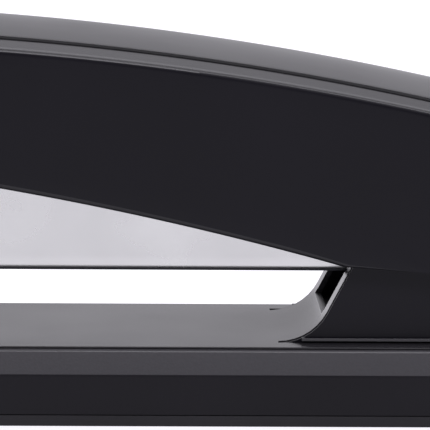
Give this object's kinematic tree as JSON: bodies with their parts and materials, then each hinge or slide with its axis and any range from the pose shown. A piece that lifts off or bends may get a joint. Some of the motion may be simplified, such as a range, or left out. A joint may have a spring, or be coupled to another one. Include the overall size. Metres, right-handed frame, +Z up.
{
  "type": "stapler",
  "caption": "Full-strip desk stapler with black handle, bright magazine, satin black deck with a swept-up rear tongue and a turning anvil.",
  "frame": {"origin": "centre of the base's underside, on the surface it stands on", "axes": "+X from the nose towards the hinge end, +Y across the width, +Z up"},
  "size_m": [0.202, 0.041, 0.06],
  "materials": {
    "base_plastic": "fine-grained satin black moulding",
    "hub_plastic": "smooth satin black moulding",
    "rubber": "matt black rubber",
    "deck_metal": "satin black painted sheet",
    "handle_plastic": "smooth satin black moulding",
    "grip": "satin charcoal insert",
    "bright_steel": "bright nickel-plated sheet",
    "track_steel": "dark phosphated sheet",
    "plain_steel": "zinc-plated steel",
    "spring_steel": "oiled spring steel",
    "pusher_plastic": "moulded black plastic"
  },
  "bodies": {
    "base": {"base_shell": "base_plastic", "rubber_foot": "rubber", "deck_plate": "deck_metal", "rear_hub": "hub_plastic", "hinge_bracket": "plain_steel", "hinge_pin": "plain_steel", "pin_ring_left": "spring_steel", "pin_ring_right": "spring_steel", "base_spring": "spring_steel", "base_screw_front": "plain_steel", "base_screw_rear": "plain_steel", "anvil_spring": "spring_steel"},
    "anvil_button": {"anvil_button": "plain_steel"},
    "anvil": {"anvil_plate": "plain_steel"},
    "magazine": {"magazine_housing": "bright_steel", "staple_track": "track_steel", "track_core": "plain_steel", "front_guide": "track_steel", "guide_rod": "plain_steel", "pusher_spring": "spring_steel", "pivot_bush": "plain_steel", "magazine_rivet_front": "plain_steel", "magazine_rivet_rear": "plain_steel"},
    "pusher": {"pusher": "pusher_plastic"},
    "handle": {"handle_shell": "handle_plastic", "top_grip": "grip", "handle_frame": "plain_steel", "driver_blade": "spring_steel", "handle_spring": "spring_steel", "spring_rivet": "plain_steel", "driver_rivet_left": "plain_steel", "driver_rivet_right": "plain_steel", "handle_screw_front": "plain_steel", "handle_screw_rear": "plain_steel"}
  },
  "joints": [
    {"name": "magazine_hinge", "type": "hinge", "parent": "base", "child": "magazine", "pos_m": [0.0855, 0, 0.031], "axis": [0, 1, 0], "range_deg": [-2.8, 90], "stiffness_Nm_per_rad": 2, "springref_deg": 5.16, "deforming": ["base_spring"]},
    {"name": "handle_hinge", "type": "hinge", "parent": "magazine", "child": "handle", "pos_m": [0.0855, 0, 0.031], "axis": [0, 1, 0], "range_deg": [-2.5, 58], "stiffness_Nm_per_rad": 2, "springref_deg": 3.44, "deforming": ["handle_spring"]},
    {"name": "pusher_slide", "type": "slide", "parent": "magazine", "child": "pusher", "axis": [1, 0, 0], "range_m": [0, 0.1], "stiffness_N_per_m": 20, "springref_m": -0.1, "deforming": ["pusher_spring"]},
    {"name": "anvil_button_push", "type": "slide", "parent": "base", "child": "anvil_button", "axis": [0, 0, 1], "range_m": [0, 0.001], "stiffness_N_per_m": 400, "springref_m": -0.002, "deforming": ["anvil_spring"]},
    {"name": "anvil_turn", "type": "hinge", "parent": "anvil_button", "child": "anvil", "pos_m": [-0.0849, 0, 0.0116], "axis": [0, 0, 1], "range_deg": [0, 180]}
  ]
}
